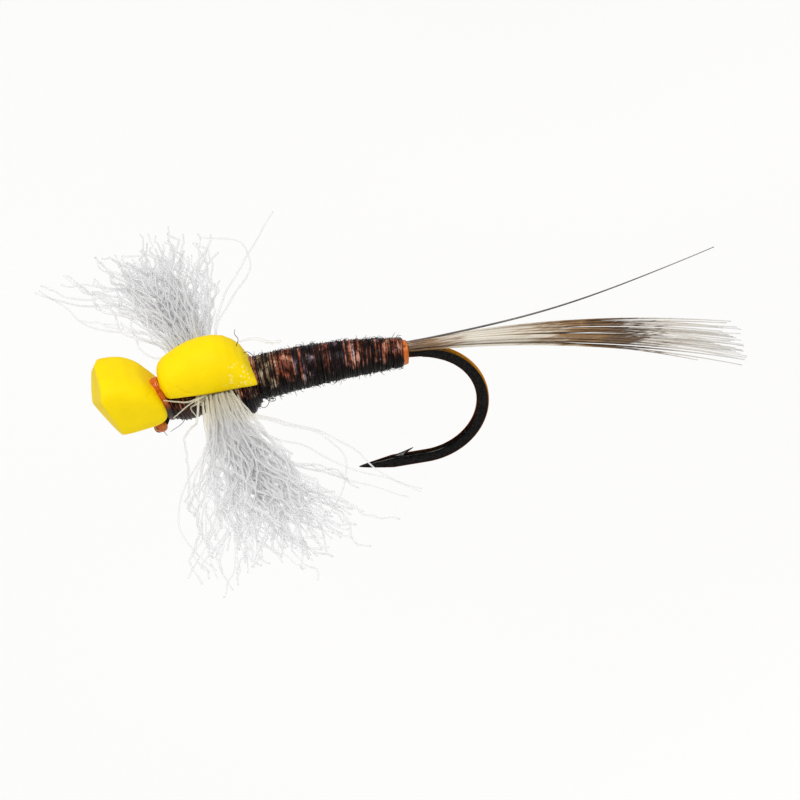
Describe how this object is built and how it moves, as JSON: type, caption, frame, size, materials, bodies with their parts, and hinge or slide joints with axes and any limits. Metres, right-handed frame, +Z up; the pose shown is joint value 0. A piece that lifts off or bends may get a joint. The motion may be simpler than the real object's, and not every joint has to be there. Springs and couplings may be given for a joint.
{
  "type": "dry fly",
  "caption": "Foam-backed spent-wing dry fly: fibre-wound body on a long-shank hook, yellow foam head and back, white yarn wings out to each side, long barb tail.",
  "frame": {"origin": "centre of the hook eye", "axes": "+X from the eye towards the tail, +Y to the fly's right side, +Z up with the hook point hanging below the shank"},
  "size_m": [0.0326, 0.0284, 0.0093],
  "materials": {
    "hook_steel": "black-nickel plated carbon steel, glossy",
    "foam": "matte closed-cell EVA foam, yellow",
    "orange_thread": "flat waxed tying thread, burnt orange, glossy",
    "dark_thread": "waxed tying thread, dark red-brown",
    "body_fibre": "wound feather fibre, dark brown with coppery sheen",
    "wing_yarn": "crimped polypropylene yarn, white, translucent",
    "tail_barb": "glossy feather barbs (keratin), barred cream and brown",
    "stray_barb": "single grey feather barb (keratin)",
    "cement": "clear head cement over orange thread, glossy"
  },
  "bodies": {
    "fly_body": {"hook": "hook_steel", "tail_butts": "tail_barb", "thread_underbody": "dark_thread", "abdomen_fibre_1": "body_fibre", "abdomen_fibre_2": "body_fibre", "abdomen_fibre_3": "body_fibre", "abdomen_fibre_4": "body_fibre", "thorax_fibre_1": "body_fibre", "thorax_fibre_2": "body_fibre", "head_thread_wraps": "dark_thread", "rear_thread_band": "orange_thread", "foam_thread_collar": "orange_thread", "wing_thread_cross_front": "dark_thread", "wing_thread_cross_rear": "dark_thread", "head_cement": "cement", "foam_strip": "foam", "yarn_waist": "wing_yarn"},
    "left_wing": {"left_wing_lock_1": "wing_yarn", "left_wing_lock_2": "wing_yarn", "left_wing_lock_3": "wing_yarn", "left_wing_lock_4": "wing_yarn", "left_wing_lock_5": "wing_yarn", "left_wing_lock_6": "wing_yarn", "left_wing_lock_7": "wing_yarn", "left_wing_lock_8": "wing_yarn"},
    "right_wing": {"right_wing_lock_1": "wing_yarn", "right_wing_lock_2": "wing_yarn", "right_wing_lock_3": "wing_yarn", "right_wing_lock_4": "wing_yarn", "right_wing_lock_5": "wing_yarn", "right_wing_lock_6": "wing_yarn", "right_wing_lock_7": "wing_yarn", "right_wing_lock_8": "wing_yarn"},
    "tail": {"tail_fibre_01": "tail_barb", "tail_fibre_02": "tail_barb", "tail_fibre_03": "tail_barb", "tail_fibre_04": "tail_barb", "tail_fibre_05": "tail_barb", "tail_fibre_06": "tail_barb", "tail_fibre_07": "tail_barb", "tail_fibre_08": "tail_barb", "tail_fibre_09": "tail_barb", "tail_fibre_10": "tail_barb", "tail_fibre_11": "tail_barb", "tail_fibre_12": "tail_barb", "tail_fibre_13": "tail_barb", "tail_fibre_14": "tail_barb", "tail_stray_fibre": "stray_barb"}
  },
  "joints": [
    {"name": "left_wing_sweep", "type": "hinge", "parent": "fly_body", "child": "left_wing", "pos_m": [0.0028, -0.0012, 0.00125], "axis": [0, 0, 1], "range_deg": [-25, 35], "stiffness_Nm_per_rad": 0.000005},
    {"name": "right_wing_sweep", "type": "hinge", "parent": "fly_body", "child": "right_wing", "pos_m": [0.0028, 0.0012, 0.00125], "axis": [0, 0, -1], "range_deg": [-20, 38], "stiffness_Nm_per_rad": 0.000005},
    {"name": "tail_lift", "type": "hinge", "parent": "fly_body", "child": "tail", "pos_m": [0.0122, 0, 0.00098], "axis": [0, -1, 0], "range_deg": [-4, 22], "stiffness_Nm_per_rad": 0.00002}
  ]
}
